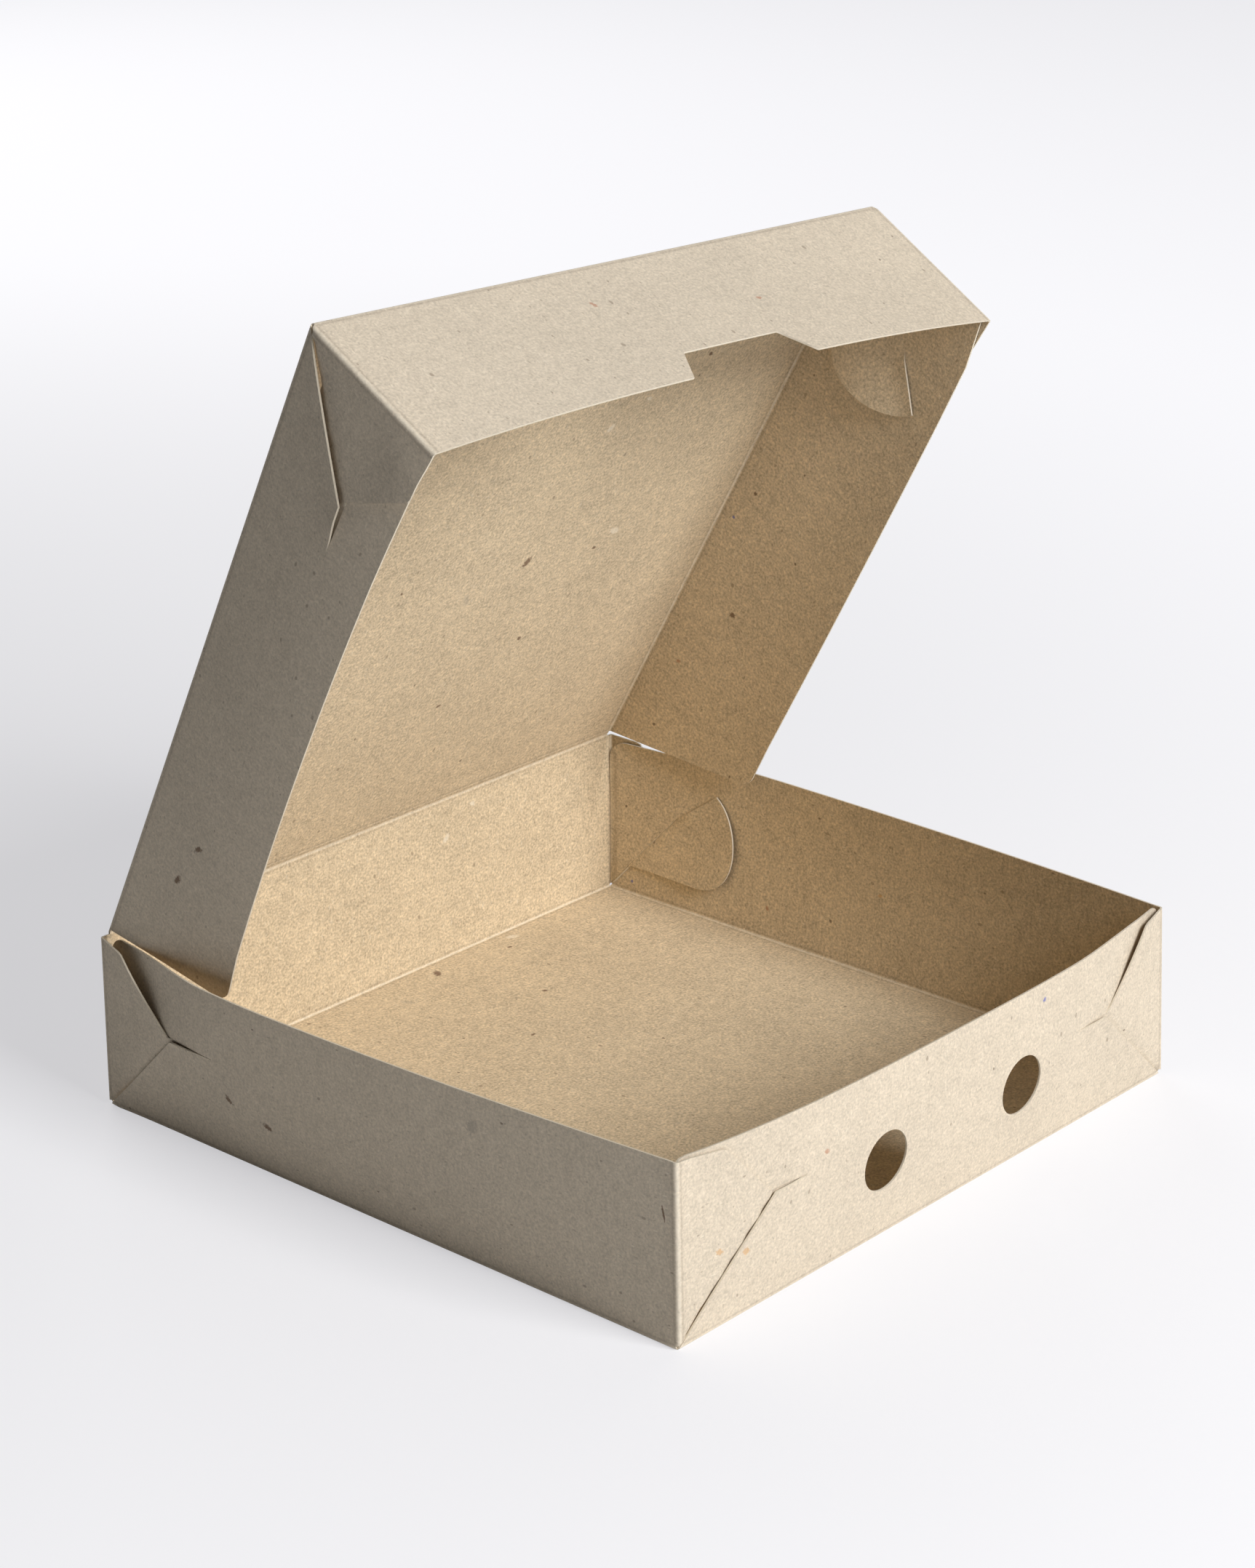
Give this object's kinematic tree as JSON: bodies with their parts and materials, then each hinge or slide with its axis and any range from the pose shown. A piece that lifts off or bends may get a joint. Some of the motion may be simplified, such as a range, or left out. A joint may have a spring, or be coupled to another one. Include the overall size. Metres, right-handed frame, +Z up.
{
  "type": "folding pastry box",
  "caption": "Shallow square one-piece folded board box with slit-and-tab corner locks, round vent holes and a hinged lid with a finger notch, lid standing open.",
  "frame": {"origin": "centre of the tray's underside, on the table", "axes": "+Z up, +Y from the front wall to the hinge, +X to the right seen from the front"},
  "size_m": [0.21, 0.205, 0.2234],
  "materials": {
    "tray_board": "uncoated recycled board, matte, with fine fibres and flecks",
    "lid_board": "uncoated recycled board, matte, with fine fibres and flecks"
  },
  "bodies": {
    "tray": {"tray": "tray_board"},
    "lid": {"lid": "lid_board"}
  },
  "joints": [
    {"name": "lid_hinge", "type": "hinge", "parent": "tray", "child": "lid", "pos_m": [0, 0.09975, 0.05], "axis": [-1, 0, 0], "range_deg": [-61.9, 118.1]}
  ]
}
